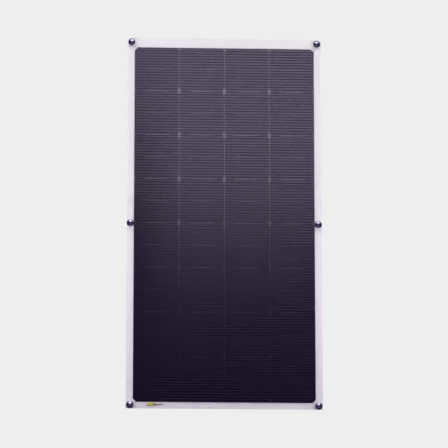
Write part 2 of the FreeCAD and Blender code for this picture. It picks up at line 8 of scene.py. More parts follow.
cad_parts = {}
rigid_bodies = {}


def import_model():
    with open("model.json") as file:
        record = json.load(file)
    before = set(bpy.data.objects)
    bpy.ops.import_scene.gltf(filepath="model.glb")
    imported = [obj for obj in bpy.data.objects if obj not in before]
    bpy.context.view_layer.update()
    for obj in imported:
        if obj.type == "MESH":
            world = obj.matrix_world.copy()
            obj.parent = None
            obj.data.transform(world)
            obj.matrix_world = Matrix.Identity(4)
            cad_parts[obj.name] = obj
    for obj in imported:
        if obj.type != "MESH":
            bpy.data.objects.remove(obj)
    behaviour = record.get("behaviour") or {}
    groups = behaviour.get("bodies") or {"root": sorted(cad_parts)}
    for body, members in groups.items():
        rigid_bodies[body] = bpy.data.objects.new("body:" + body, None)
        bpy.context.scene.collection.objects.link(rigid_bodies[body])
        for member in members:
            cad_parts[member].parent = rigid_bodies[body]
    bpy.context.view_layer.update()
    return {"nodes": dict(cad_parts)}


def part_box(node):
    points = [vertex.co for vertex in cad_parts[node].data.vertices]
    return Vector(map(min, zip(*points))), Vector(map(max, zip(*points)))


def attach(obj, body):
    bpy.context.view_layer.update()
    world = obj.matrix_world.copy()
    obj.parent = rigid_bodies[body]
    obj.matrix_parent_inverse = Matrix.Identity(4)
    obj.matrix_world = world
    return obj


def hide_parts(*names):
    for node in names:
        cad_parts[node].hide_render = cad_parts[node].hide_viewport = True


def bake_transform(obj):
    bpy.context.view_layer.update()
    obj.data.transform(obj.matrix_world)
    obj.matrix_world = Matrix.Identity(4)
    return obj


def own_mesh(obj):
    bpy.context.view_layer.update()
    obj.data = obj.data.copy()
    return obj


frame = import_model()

# A bendable solar sheet seen from its front. X is to the right, Z up, the front faces -Y and the
# rear face lies at Y = 0. Everything is in metres, unless a comment says millimetres.
MM = 0.001

# ------------------------------------------------------------------ driving dimensions
ROW_PITCH = 126.6 * MM          # of full cells, along the sheet and across it
ROWS = 8
COLUMNS = 4
WAFER = 125.0 * MM
INGOT_RADIUS = 82.3 * MM        # round ingot that rounds off the cells' corners
CUT_GAP = 0.6 * MM              # between the two halves of a cell
RIBS_PER_ROW = 16
RIB_PITCH = ROW_PITCH / RIBS_PER_ROW
RIB_HEIGHT = 0.25 * MM
RIB_STEPS = 6                   # facets across one rib
RIB_COLUMNS = 28                # stretches along a rib, whose height varies a little
SEAM_Z = ROW_PITCH / 2          # where the upper and lower half of each layer meet
BEND_ROW = 2                    # bending line, in rows from the middle
BEND_START = (BEND_ROW - 1) * ROW_PITCH
BEND_END = (BEND_ROW + 1) * ROW_PITCH
SHEET_CORNER = 3.0 * MM
FIELD_CHAMFER = 9.0 * MM        # cut off the carrier's four corners
FILM_MARGIN = 1.5 * MM          # smooth strip between the ribs' ends and the field's sides
HOLE_RADIUS = 4.8 * MM
MASK_GAP = 9.0 * MM             # between the dark strips of two columns
MASK_SIDE = 4.5 * MM            # from the outer strips to the field's sides
MASK_END = 9.0 * MM             # from the strips to the field's ends
LINK_WIDTH = 68.0 * MM
LINK_HEIGHT = 12.0 * MM
BUS_WIDTH = 5.0 * MM
BUS_INSET = 8.0 * MM
SKIN = 0.02 * MM                # air left between two clear layers
SPRING_WIRE = 0.35 * MM         # radius
SPRING_TURNS = 2.5

# ------------------------------------------------------------------ fineness of round shapes
ARC_STEPS = 6                   # of the sheet's and the cells' corners
HOLE_STEPS = 36
CHIP_STEPS = 5
SOFT_STEPS = 3                  # of the small roundings on a turned outline
TURN_STEPS = 72
SPRING_STEPS = 28               # stretches in one turn
WIRE_SIDES = 8
SMOOTH_ANGLE = math.radians(35)

# ------------------------------------------------------------------ places read from the frame
SHEET_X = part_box("backsheet_top")[1].x
SHEET_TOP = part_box("backsheet_top")[1].z
SHEET_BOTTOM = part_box("backsheet_bottom")[0].z
FIELD_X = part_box("carrier_sheet_top")[1].x
FIELD_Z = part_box("carrier_sheet_top")[1].z
BACK_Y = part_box("backsheet_top")[0].y           # front side of each layer
CARRIER_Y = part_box("carrier_sheet_top")[0].y
MASK_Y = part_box("dark_mask_top")[0].y
LINK_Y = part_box("interconnects_bottom")[0].y
CELL_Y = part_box("half_cells_top")[0].y
RESIN_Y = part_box("encapsulant_top")[0].y
FRONT_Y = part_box("type_label")[1].y
LABEL_LOW, LABEL_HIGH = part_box("type_label")
LEVELS = ("top", "middle", "bottom")
SIDES = ("left", "right")


def fastener_place(level, side):
    low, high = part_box("pull_knob_%s_%s" % (level, side))
    return (low.x + high.x) / 2, (low.z + high.z) / 2


FASTENERS = {(level, side): fastener_place(level, side) for level in LEVELS for side in SIDES}


def column_x(column):
    return (column - (COLUMNS - 1) / 2) * ROW_PITCH


# ------------------------------------------------------------------ camera
# A long lens far off, a little below the sheet's normal, so that the top leans away.
CAMERA_TILT = math.radians(-12.70)
CAMERA_YAW = math.radians(2.70)
CAMERA_ROLL = math.radians(0.60)
CAMERA_DISTANCE = 9.288
CAMERA_OFFSET = Vector((0.95 * MM, 0.0, 1.54 * MM))
LENS = 267.6
SENSOR = 36.0


def make_camera():
    """The sheet's frame seen through the camera is turned by tilt, yaw and roll, then moved."""
    turn = (Matrix.Rotation(CAMERA_ROLL, 3, "Y") @ Matrix.Rotation(CAMERA_YAW, 3, "Z")
            @ Matrix.Rotation(CAMERA_TILT, 3, "X"))
    back = turn.transposed()
    data = bpy.data.cameras.new("camera")
    data.lens = LENS
    data.sensor_width = SENSOR
    data.clip_start = 0.1
    data.clip_end = 200.0
    camera = bpy.data.objects.new("camera", data)
    bpy.context.scene.collection.objects.link(camera)
    looks_along_y = Matrix.Rotation(math.pi / 2, 3, "X")
    camera.matrix_world = (back @ looks_along_y).to_4x4()
    camera.location = back @ -(CAMERA_OFFSET + Vector((0.0, CAMERA_DISTANCE, 0.0)))
    bpy.context.scene.camera = camera


# ------------------------------------------------------------------ material helpers
class Finish:
    """A Principled material with short calls for its procedural detail."""

    def __init__(self, name, color, roughness, metallic=0.0, **inputs):
        self.material = bpy.data.materials.new(name)
        self.material.use_nodes = True
        self.tree = self.material.node_tree
        self.shader = self.tree.nodes["Principled BSDF"]
        self.normal = None
        self.put("Base Color", (*color, 1.0))
        self.put("Roughness", roughness)
        self.put("Metallic", metallic)
        for key, value in inputs.items():
            self.put(key, value)

    def put(self, name, value):
        self.shader.inputs[name].default_value = value

    def node(self, kind, **values):
        made = self.tree.nodes.new("ShaderNode" + kind)
        for key, value in values.items():
            setattr(made, key, value)
        return made

    def link(self, a, b):
        self.tree.links.new(a, b)

    def place(self):
        """Position in the object's own frame, in metres."""
        return self.node("TexCoord").outputs["Object"]

    def noise(self, size, detail=3.0, stretch=(1.0, 1.0, 1.0)):
        """Smooth noise whose blotches measure size, stretched along an axis by its factor."""
        mapping = self.node("Mapping")
        for axis in range(3):
            mapping.inputs["Scale"].default_value[axis] = 1 / (size * stretch[axis])
        self.link(self.place(), mapping.inputs["Vector"])
        made = self.node("TexNoise")
        made.inputs["Scale"].default_value = 1.0
        made.inputs["Detail"].default_value = detail
        self.link(mapping.outputs["Vector"], made.inputs["Vector"])
        return made.outputs["Fac"]

    def math(self, operation, a, b=None):
        made = self.node("Math", operation=operation)
        for socket, value in zip(made.inputs, (a, b)):
            if value is None:
                continue
            if isinstance(value, (int, float)):
                socket.default_value = value
            else:
                self.link(value, socket)
        return made.outputs[0]

    def line(self, value, factor, offset):
        """A value times a factor, plus an offset."""
        return self.math("ADD", self.math("MULTIPLY", value, factor), offset)

    def axis(self, name):
        """Distance from the sheet's middle along X, Y or Z."""
        parts = self.node("SeparateXYZ")
        self.link(self.place(), parts.inputs[0])
        return parts.outputs[name]

    def ripple(self, name, pitch):
        """A sine wave along an axis, from 0 to 1, one period every pitch."""
        angle = self.math("MULTIPLY", self.axis(name), 2 * math.pi / pitch)
        return self.line(self.math("SINE", angle), 0.5, 0.5)

    def cells(self, pitch):
        """One random value for each square of a grid."""
        x = self.math("FLOOR", self.math("DIVIDE", self.axis("X"), pitch))
        z = self.math("FLOOR", self.math("DIVIDE", self.axis("Z"), pitch))
        join = self.node("CombineXYZ")
        self.link(x, join.inputs["X"])
        self.link(z, join.inputs["Z"])
        made = self.node("TexWhiteNoise", noise_dimensions="3D")
        self.link(join.outputs[0], made.inputs["Vector"])
        return made.outputs["Value"]

    def span(self, value, low, high):
        """Stretch a 0 to 1 value to low to high."""
        made = self.node("MapRange")
        made.inputs["To Min"].default_value = low
        made.inputs["To Max"].default_value = high
        self.link(value, made.inputs["Value"])
        return made.outputs["Result"]

    def between(self, value, start, end):
        """From 0 where the value is start to 1 where it is end, and no further."""
        made = self.node("MapRange")
        made.inputs["From Min"].default_value = start
        made.inputs["From Max"].default_value = end
        self.link(value, made.inputs["Value"])
        return made.outputs["Result"]

    def color(self, value, low, high):
        """Base colour between two colours."""
        made = self.node("Mix", data_type="RGBA")
        made.inputs[6].default_value = (*low, 1.0)
        made.inputs[7].default_value = (*high, 1.0)
        self.link(value, made.inputs["Factor"])
        self.link(made.outputs[2], self.shader.inputs["Base Color"])

    def drive(self, name, value, low, high):
        """Let a 0 to 1 value run an input from low to high."""
        self.link(self.span(value, low, high), self.shader.inputs[name])

    def bump(self, height, depth):
        """Add relief of a given depth; several calls add up."""
        made = self.node("Bump")
        made.inputs["Strength"].default_value = 1.0
        made.inputs["Distance"].default_value = depth
        self.link(height, made.inputs["Height"])
        if self.normal is not None:
            self.link(self.normal, made.inputs["Normal"])
        self.normal = made.outputs["Normal"]
        self.link(self.normal, self.shader.inputs["Normal"])


# ------------------------------------------------------------------ materials
# Painted shade: the film's sheen is painted darker towards its left-hand side.
FADE_START = 0.12               # left of the middle, where the film's sheen begins to fade


def film_field_finish():
    """Ribbed film over the cells; its sheen carries most of the light seen there, with painted
    sheen and shade in its specular level and base colour.
    """
    made = Finish("film_over_cells", (0.008, 0.002, 0.018), 0.40, Alpha=0.76, IOR=1.7)
    made.put("Specular Tint", (0.87, 0.81, 1.0, 1.0))
    x, z = made.axis("X"), made.axis("Z")
    # Painted sheen: stripes at the rib pitch in the specular level and base colour stand in for
    # the ribs' reflections. They show most in noisy patches, at the right-hand side and towards
    # the lower end.
    patchy_rib_sheen = made.span(made.noise(0.11, 3.0, (2.5, 1.0, 0.5)), 0.42, 0.82)
    across = made.line(x, made.line(z, 1.2, 0.6), 0.95)
    along = made.line(z, -0.5, 1.13)
    strength = made.math("MULTIPLY", patchy_rib_sheen, made.math("MULTIPLY", across, along))
    wave = made.math("ADD", made.ripple("Z", RIB_PITCH), -0.5)
    # Painted shade: the sheen painted into the specular level and base colour fades towards the
    # left-hand side, most of all halfway up the sheet.
    past_fade = made.math("MINIMUM", made.math("ADD", x, FADE_START), 0.0)
    halfway = made.line(made.math("ABSOLUTE", z), -3.5, 2.2)
    sheen = made.line(past_fade, halfway, 0.5)
    # Painted highlight over each gap between two columns of cells, and painted shade beside it, in
    # the film's specular level and base colour.
    from_gap = made.math("PINGPONG", x, ROW_PITCH / 2)
    painted_gap_highlight = made.math("MULTIPLY", made.between(from_gap, 1.8 * MM, 0.8 * MM), 0.17)
    painted_flank_shade = made.math("MULTIPLY", made.between(from_gap, 4.5 * MM, 2.5 * MM), -0.04)
    level = made.math("ADD", sheen, made.math("ADD", painted_gap_highlight, painted_flank_shade))
    # Painted sheen and shade: the stripes, the fade and the gap's highlight and shade together run
    # the specular level and base colour.
    painted_sheen = made.line(wave, strength, level)
    made.drive("Specular IOR Level", painted_sheen, 0.02, 0.92)
    made.color(painted_sheen, (0.0030, 0.0003, 0.0088), (0.0088, 0.0019, 0.0242))
    made.drive("Roughness", made.noise(0.05), 0.37, 0.42)
    made.bump(made.ripple("X", 0.9 * MM), 0.001 * MM)
    made.bump(made.noise(0.03, 2.0), 0.005 * MM)
    return made.material


def film_border_finish():
    """The same film over the white border, plain and slightly hazy."""
    made = Finish("film_over_border", (0.90, 0.89, 0.92), 0.35, Alpha=0.10)
    made.drive("Roughness", made.noise(0.03), 0.28, 0.42)
    made.bump(made.noise(0.004, 4.0), 0.02 * MM)
    return made.material


def film_inside_finish():
    """Rear side of the film, bonded to the resin, so that it hardly reflects."""
    made = Finish("film_bonded_side", (0.06, 0.04, 0.10), 0.6, Alpha=0.01)
    made.drive("Roughness", made.noise(0.02), 0.55, 0.65)
    return made.material


def resin_finish():
    made = Finish("clear_resin", (0.06, 0.04, 0.10), 0.5, Alpha=0.01)
    made.drive("Roughness", made.noise(0.02), 0.45, 0.55)
    return made.material


def laminate_finish():
    """White glass-fibre laminate with a fine weave, a little uneven in tone."""
    made = Finish("white_laminate", (0.86, 0.85, 0.87), 0.5)
    made.color(made.noise(0.035, 5.0), (0.84, 0.825, 0.855), (0.90, 0.895, 0.91))
    made.drive("Roughness", made.noise(0.01), 0.42, 0.55)
    made.bump(made.ripple("X", 1.4 * MM), 0.012 * MM)
    made.bump(made.ripple("Z", 1.4 * MM), 0.012 * MM)
    made.bump(made.noise(0.008, 3.0), 0.06 * MM)
    return made.material


def carrier_finish():
    """Light sheet with painted shade, darker in the narrow gap between two columns of cells and
    lower down.
    """
    made = Finish("grey_carrier", (0.40, 0.38, 0.42), 0.30, metallic=1.0)
    # Painted shade: the carrier is darker along each gap between two columns, away from where the
    # rows meet, as if shaded by the cells' edges.
    from_row = made.math("PINGPONG", made.axis("Z"), ROW_PITCH / 2)
    painted_gap_shade = made.line(made.between(from_row, 5.0 * MM, 8.0 * MM), -0.35, 1.0)
    # Painted shade: the carrier is painted darker lower down, where its sheen fades.
    upper = made.span(made.between(made.axis("Z"), -0.10, 0.30), 0.55, 1.0)
    patches = made.span(made.noise(0.006, 4.0), 0.85, 1.0)
    # The carrier's tone: random patches times the painted shade.
    tone = made.math("MULTIPLY", painted_gap_shade, made.math("MULTIPLY", patches, upper))
    made.color(tone, (0.0, 0.0, 0.0), (0.51, 0.49, 0.53))
    made.drive("Roughness", made.noise(0.004), 0.285, 0.32)
    made.bump(made.noise(0.002, 3.0), 0.01 * MM)
    return made.material


def mask_finish():
    made = Finish("dark_mask", (0.006, 0.005, 0.010), 0.7)
    made.color(made.noise(0.01), (0.004, 0.003, 0.007), (0.009, 0.007, 0.014))
    made.bump(made.noise(0.003), 0.02 * MM)
    return made.material


def silicon_finish():
    """Dark textured wafer; each cell has its own shade."""
    made = Finish("silicon", (0.010, 0.006, 0.020), 0.5, IOR=1.5)
    made.put("Specular IOR Level", 0.3)
    made.put("Specular Tint", (0.86, 0.78, 1.0, 1.0))
    shade = made.math("ADD", made.math("MULTIPLY", made.cells(ROW_PITCH), 0.6),
                      made.math("MULTIPLY", made.noise(0.04, 4.0), 0.4))
    made.color(shade, (0.008, 0.002, 0.017), (0.013, 0.005, 0.026))
    made.drive("Roughness", made.noise(0.02, 4.0), 0.45, 0.55)
    made.bump(made.ripple("X", 0.47 * MM), 0.003 * MM)
    made.bump(made.noise(0.0015, 2.0), 0.01 * MM)
    return made.material


def brushed(name, color, roughness, depth=0.004 * MM):
    """Metal with fine scratches and patchy gloss."""
    made = Finish(name, color, roughness, metallic=1.0)
    dark = tuple(c * 0.86 for c in color)
    made.color(made.noise(0.004, 4.0), dark, color)
    made.drive("Roughness", made.noise(0.002, 4.0), roughness * 0.75, roughness * 1.3)
    made.bump(made.noise(0.0006, 3.0, (8.0, 8.0, 1.0)), depth)
    return made.material


def plastic(name, color, roughness, grain=0.0007, depth=0.02 * MM):
    """Moulded plastic with a spark-eroded grain and slightly uneven gloss."""
    made = Finish(name, color, roughness)
    light = tuple(c * 1.35 + 0.002 for c in color)
    made.color(made.noise(0.02, 5.0), color, light)
    made.drive("Roughness", made.noise(0.006, 4.0), roughness * 0.85, roughness * 1.15)
    made.bump(made.noise(grain, 2.0), depth)
    return made.material


def print_finish(name, color, shade, size):
    """Printed chip with an uneven, slightly worn ink, darker towards its lower edge."""
    made = Finish(name, color, 0.4)
    depth = made.between(made.axis("Z"), LABEL_HIGH.z, LABEL_LOW.z)
    blotches = made.math("MULTIPLY", made.math("ADD", made.noise(size, 2.0), -0.38), 6.5)
    worn = made.math("MULTIPLY", made.math("MAXIMUM", blotches, 0.0), depth)
    made.color(worn, color, shade)
    made.bump(made.noise(0.001), 0.01 * MM)
    return made.material


def make_materials():
    return {
        "film_field": film_field_finish(),
        "film_border": film_border_finish(),
        "film_inside": film_inside_finish(),
        "resin": resin_finish(),
        "laminate": laminate_finish(),
        "carrier": carrier_finish(),
        "mask": mask_finish(),
        "silicon": silicon_finish(),
        "foil": brushed("tinned_copper", (0.86, 0.82, 0.88), 0.34),
        "chrome": brushed("chrome_plate", (0.72, 0.69, 0.84), 0.20, depth=0.001 * MM),
        "spring": brushed("spring_steel", (0.55, 0.55, 0.58), 0.25),
        "washer": brushed("steel_washer", (0.62, 0.62, 0.64), 0.32),
        "nickel": brushed("nickel_plate", (0.70, 0.68, 0.64), 0.22),
        "screw": brushed("steel_screw", (0.58, 0.58, 0.60), 0.28),
        "brass": brushed("rail_brass", (0.72, 0.55, 0.27), 0.30),
        "box": plastic("box_plastic", (0.026, 0.026, 0.028), 0.40),
        "gland": plastic("gland_plastic", (0.030, 0.030, 0.032), 0.42),
        "rubber": plastic("box_rubber", (0.028, 0.028, 0.028), 0.75),
        "diode": plastic("diode_plastic", (0.015, 0.015, 0.016), 0.35),
        "tape": plastic("foam_tape", (0.55, 0.55, 0.53), 0.85, 0.0009, 0.05 * MM),
        "print_mark": print_finish("label_mark", (0.66, 0.68, 0.09), (0.20, 0.18, 0.02), 0.0035),
        "print_block": print_finish("label_block", (0.16, 0.11, 0.07), (0.07, 0.05, 0.05), 0.002),
        "print_strip": print_finish("label_strip", (0.36, 0.31, 0.29), (0.20, 0.17, 0.18), 0.002),
        "print_line": print_finish("label_line", (0.17, 0.14, 0.19), (0.10, 0.08, 0.11), 0.002),
    }


# ------------------------------------------------------------------ mesh helpers
def piece(name, bm, materials, replaced):
    """Turn a bmesh into a finished object that stands for some CAD nodes."""
    bmesh.ops.recalc_face_normals(bm, faces=bm.faces)
    mesh = bpy.data.meshes.new(name)
    bm.to_mesh(mesh)
    bm.free()
    for material in materials:
        mesh.materials.append(material)
    mesh.shade_smooth()
    mesh.set_sharp_from_angle(angle=SMOOTH_ANGLE)
    made = bpy.data.objects.new(name, mesh)
    bpy.context.scene.collection.objects.link(made)
    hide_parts(*replaced)
    return made


def bend(made):
    """Bake the placement of a piece of the upper or lower half into its mesh."""
    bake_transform(made)


class Half:
    """The upper or the lower half of the sheet."""

    def __init__(self, name, sign, levels):
        self.name = name
        self.sign = sign
        self.levels = levels
        self.body = levels[-1] + "_panel"
        self.end = SHEET_TOP if sign > 0 else SHEET_BOTTOM
        self.field_end = sign * FIELD_Z

    def holds(self, z):
        return (z > SEAM_Z - 1e-6) == (self.sign > 0)

    def holes(self):
        """Fastener holes that lie in this half."""
        return [(x, z) for x, z in FASTENERS.values() if self.holds(z)]

    def nodes(self, layer_name):
        """CAD nodes of a layer that a piece of this half stands for."""
        return [layer_name + "_" + level for level in self.levels]

    def lines(self):
        """Heights at which this half's layers are divided so that they can bend, from its seam."""
        count = round((BEND_END - BEND_START) / RIB_PITCH)
        return [self.sign * (BEND_START + i * RIB_PITCH) for i in range(count + 1)]


HALVES = (Half("upper", 1, ("middle", "top")), Half("lower", -1, ("middle", "bottom")))


def sheet_plan(half, field_x, field_z, cross_field):
    """Triangles of one half of the sheet, with its field outline and bending lines as edges."""
    points, edges = [], []

    def path(coordinates, closed=False):
        first = len(points)
        points.extend(coordinates)
        count = len(coordinates)
        edges.extend((first + i, first + (i + 1) % count) for i in range(count - 1 + closed))

    sign, end = half.sign, half.end
    corner_z = end - sign * SHEET_CORNER
    outline = [(-SHEET_X, SEAM_Z)]
    outline += [(-SHEET_X, z) for z in half.lines()]
    for i in range(ARC_STEPS + 1):
        angle = math.pi / 2 * i / ARC_STEPS
        outline.append((-SHEET_X + SHEET_CORNER * (1 - math.cos(angle)),
                        corner_z + sign * SHEET_CORNER * math.sin(angle)))
    outline += [(-x, z) for x, z in reversed(outline)]
    outline += [(x, SEAM_Z) for x in reversed(field_x)]
    path(outline, closed=True)
    for side in (-FIELD_X, FIELD_X):
        path([(side, z) for z in field_z])
    path([(x, half.field_end) for x in field_x])
    for z in half.lines():
        for side in (-1, 1):
            path([(side * SHEET_X, z), (side * FIELD_X, z)])
        if cross_field:
            path([(-FIELD_X, z), (FIELD_X, z)])
    for x, z in half.holes():
        path([(x + HOLE_RADIUS * math.cos(2 * math.pi * i / HOLE_STEPS),
               z + HOLE_RADIUS * math.sin(2 * math.pi * i / HOLE_STEPS))
              for i in range(HOLE_STEPS)], closed=True)
    vectors = [Vector(p) for p in points]
    flat, _, faces, *_ = geometry.delaunay_2d_cdt(vectors, edges, [], 0, 1e-6)

    def open_hole(face):
        centre = sum((flat[i] for i in face), Vector((0.0, 0.0))) / 3
        return any(math.dist(centre, hole) < HOLE_RADIUS for hole in half.holes())

    return [(p.x, p.y) for p in flat], [face for face in faces if not open_hole(face)]


def in_field(point):
    return abs(point[0]) < FIELD_X and abs(point[1]) < FIELD_Z


def in_chamfer(x, z):
    """In a corner of the field that the carrier leaves open, or on its slanting edge."""
    return abs(x) + abs(z) > FIELD_X + FIELD_Z - FIELD_CHAMFER - 1e-7


def layer(plan, front_y, rear_y, field_rear_y=None, open_field=False):
    """A layer between two depths. Its rear may be shallower over the field, or its front open."""
    flat, faces = plan
    bm = bmesh.new()
    made = {}

    def vertex(index, y):
        key = (index, y)
        if key not in made:
            made[key] = bm.verts.new((flat[index][0], y, flat[index][1]))
        return made[key]

    def centre(face):
        return [sum(flat[i][axis] for i in face) / 3 for axis in range(2)]

    borders = {}
    for face in faces:
        inside = in_field(centre(face))
        depth = field_rear_y if inside and field_rear_y is not None else rear_y
        if not (open_field and inside):
            bm.faces.new([vertex(i, front_y) for i in face])
        bm.faces.new([vertex(i, depth) for i in reversed(face)])
        for a, b in zip(face, face[1:] + face[:1]):
            borders.setdefault(frozenset((a, b)), []).append(depth)
    for (a, b), depths in borders.items():
        near, far = (front_y, *depths) if len(depths) == 1 else depths
        if near != far:
            bm.faces.new([vertex(a, near), vertex(b, near), vertex(b, far), vertex(a, far)])
    return bm


def ladder(bm, rungs, front_y, rear_y):
    """A flat closed strip through rungs of (height, left, right)."""
    rows = []
    for z, left, right in rungs:
        rows.append([bm.verts.new(p) for p in ((left, front_y, z), (right, front_y, z),
                                               (right, rear_y, z), (left, rear_y, z))])
    bm.faces.new(rows[0])
    bm.faces.new(rows[-1])
    for low, high in zip(rows, rows[1:]):
        for i in range(4):
            j = (i + 1) % 4
            bm.faces.new((low[i], low[j], high[j], high[i]))


def rungs(low, high, width_at, extra=()):
    """Heights from low to high, divided at each rib line, with the strip's edges there."""
    first = math.ceil(low / RIB_PITCH + 1e-6)
    last = math.floor(high / RIB_PITCH - 1e-6)
    heights = {low, high, *extra, *(i * RIB_PITCH for i in range(first, last + 1))}
    return [(z, *width_at(z)) for z in sorted(heights)]


# ------------------------------------------------------------------ laminate
def finish_layer(name, half, bm, materials):
    """Make a layer's piece for one half, in place of its CAD nodes, with its placement baked into
    its mesh.
    """
    bend(piece(name + "_" + half.name, bm, materials, half.nodes(name)))


def evenly(low, high, count):
    return [low + (high - low) * i / count for i in range(count + 1)]


def rib_relief(x, z):
    """Relief of the embossed ribs, a little uneven and lowest towards the lower left."""
    across_rib = (z / RIB_PITCH) % 1.0
    bulge = 4 * across_rib * (1 - across_rib)
    rib = math.floor(z / RIB_PITCH)
    uneven = 0.80 + 0.20 * noise.noise(Vector((x * 9.0, 0.0, rib * 0.31)))
    upwards = 0.75 + 0.25 * z / FIELD_Z
    rightwards = 0.75 + 0.25 * x / FIELD_X
    return -RIB_HEIGHT * bulge * uneven * upwards * rightwards


def rib_grid(half):
    """Places across the field, and heights up or down it from the seam, of the ribs' facets."""
    chamfer_x = FIELD_X - FIELD_CHAMFER
    inner_x = evenly(-chamfer_x, chamfer_x, RIB_COLUMNS)
    field_x = [-FIELD_X, -FIELD_X + FILM_MARGIN, *inner_x, FIELD_X - FILM_MARGIN, FIELD_X]
    step = RIB_PITCH / RIB_STEPS
    count = math.floor(abs(half.field_end - SEAM_Z) / step)
    field_z = [SEAM_Z + half.sign * step * i for i in range(count + 1)]
    field_z = [z for z in field_z if abs(z - half.field_end) > step / 4]
    field_z += [half.field_end, half.field_end - half.sign * FIELD_CHAMFER]
    field_z.sort(reverse=half.sign < 0)
    return field_x, field_z


def ribbed_faces(bm, field_x, field_z):
    """The film's ribbed front, flat at the field's edges and in its corners."""
    grid = []
    for i, x in enumerate(field_x):
        edge = i in (0, len(field_x) - 1)
        column = []
        for j, z in enumerate(field_z):
            flat = edge or j in (0, len(field_z) - 1) or in_chamfer(x, z)
            y = FRONT_Y + (0.0 if flat else rib_relief(x, z))
            column.append(bm.verts.new((x, y, z)))
        grid.append(column)
    ribs = []
    for left, right in zip(grid, grid[1:]):
        for k in range(len(field_z) - 1):
            ribs.append(bm.faces.new((left[k], right[k], right[k + 1], left[k + 1])))
    return ribs


def cut_corners(bm, half, ribs):
    """Divide the ribbed front along the slanting edges at the field's two corners."""
    for side in (-1, 1):
        corner = [f for f in ribs if f.is_valid
                  and side * f.calc_center_median().x > FIELD_X - FIELD_CHAMFER
                  and abs(f.calc_center_median().z) > FIELD_Z - FIELD_CHAMFER]
        parts = {part for face in corner for part in (face, *face.edges, *face.verts)}
        edge = (side * FIELD_X, 0.0, half.sign * (FIELD_Z - FIELD_CHAMFER))
        bmesh.ops.bisect_plane(bm, geom=list(parts), dist=1e-7, plane_co=edge,
                               plane_no=(side, 0.0, half.sign))


def film_part(face):
    """Which finish a face of the film gets: 0 over the cells, 1 over the border, 2 inside."""
    centre = face.calc_center_median()
    if centre.y > (FRONT_Y + RESIN_Y) / 2:
        return 2
    over_cells = in_field((centre.x, centre.z)) and not in_chamfer(centre.x, centre.z)
    return 0 if over_cells else 1


def make_front_film(half, finishes):
    """Clear film: plain over the border, ribbed over the cells."""
    field_x, field_z = rib_grid(half)
    plan = sheet_plan(half, field_x, field_z, cross_field=False)
    bm = layer(plan, FRONT_Y, RESIN_Y - SKIN, open_field=True)
    ribs = ribbed_faces(bm, field_x, field_z)
    cut_corners(bm, half, ribs)
    bmesh.ops.remove_doubles(bm, verts=bm.verts, dist=2e-6)
    for face in bm.faces:
        face.material_index = film_part(face)
    materials = [finishes["film_field"], finishes["film_border"], finishes["film_inside"]]
    finish_layer("front_film", half, bm, materials)


def plain_plan(half):
    """Plan of a layer whose field is divided at the bending lines only."""
    return sheet_plan(half, [-FIELD_X, FIELD_X], [SEAM_Z, *half.lines(), half.field_end],
                      cross_field=True)


def make_resin(half, finishes):
    """Clear resin, thinner over the field, where the cells lie behind it."""
    bm = layer(plain_plan(half), RESIN_Y + SKIN, BACK_Y - SKIN, field_rear_y=CELL_Y - SKIN)
    finish_layer("encapsulant", half, bm, [finishes["resin"]])


def make_backsheet(half, finishes):
    bm = layer(plain_plan(half), BACK_Y, 0.0)
    finish_layer("backsheet", half, bm, [finishes["laminate"]])


def half_span(half, low, high):
    """The stretch from low to high that lies in a half."""
    if half.sign > 0:
        return max(low, SEAM_Z), high
    return low, min(high, SEAM_Z)


def make_carrier(half, finishes):
    """Light carrier sheet with its outer corners cut off."""
    def width_at(z):
        cut = max(0.0, FIELD_CHAMFER - (FIELD_Z - abs(z)))
        return -FIELD_X + cut, FIELD_X - cut

    bm = bmesh.new()
    low, high = half_span(half, -FIELD_Z, FIELD_Z)
    chamfer = half.sign * (FIELD_Z - FIELD_CHAMFER)
    ladder(bm, rungs(low, high, width_at, [chamfer]), CARRIER_Y, BACK_Y - SKIN)
    finish_layer("carrier_sheet", half, bm, [finishes["carrier"]])


def make_mask(half, finishes):
    """Dark strips behind the cells of each column."""
    bm = bmesh.new()
    reach = (ROW_PITCH - MASK_GAP) / 2
    low, high = half_span(half, MASK_END - FIELD_Z, FIELD_Z - MASK_END)
    for column in range(COLUMNS):
        left = max(column_x(column) - reach, -FIELD_X + MASK_SIDE)
        right = min(column_x(column) + reach, FIELD_X - MASK_SIDE)
        ladder(bm, rungs(low, high, lambda z: (left, right)), MASK_Y, CARRIER_Y - SKIN)
    finish_layer("dark_mask", half, bm, [finishes["mask"]])


def make_links(half, finishes):
    """Foils across each gap of a column, and the ribbons at the field's ends."""
    bm = bmesh.new()

    def strip(x0, x1, z0, z1):
        ladder(bm, rungs(z0, z1, lambda z: (x0, x1)), LINK_Y, MASK_Y - SKIN)

    for step in range(1, 2 * ROWS):
        z = (ROWS - step) * ROW_PITCH / 2
        if not half.holds(z):
            continue
        for column in range(COLUMNS):
            x = column_x(column)
            strip(x - LINK_WIDTH / 2, x + LINK_WIDTH / 2, z - LINK_HEIGHT / 2, z + LINK_HEIGHT / 2)
    z = half.sign * (FIELD_Z - BUS_INSET)
    pairs = [(1, 2)] if half.sign > 0 else [(0, 1), (2, 3)]    # columns joined by a ribbon
    for first, last in pairs:
        strip(column_x(first), column_x(last), z - BUS_WIDTH / 2, z + BUS_WIDTH / 2)
    finish_layer("interconnects", half, bm, [finishes["foil"]])


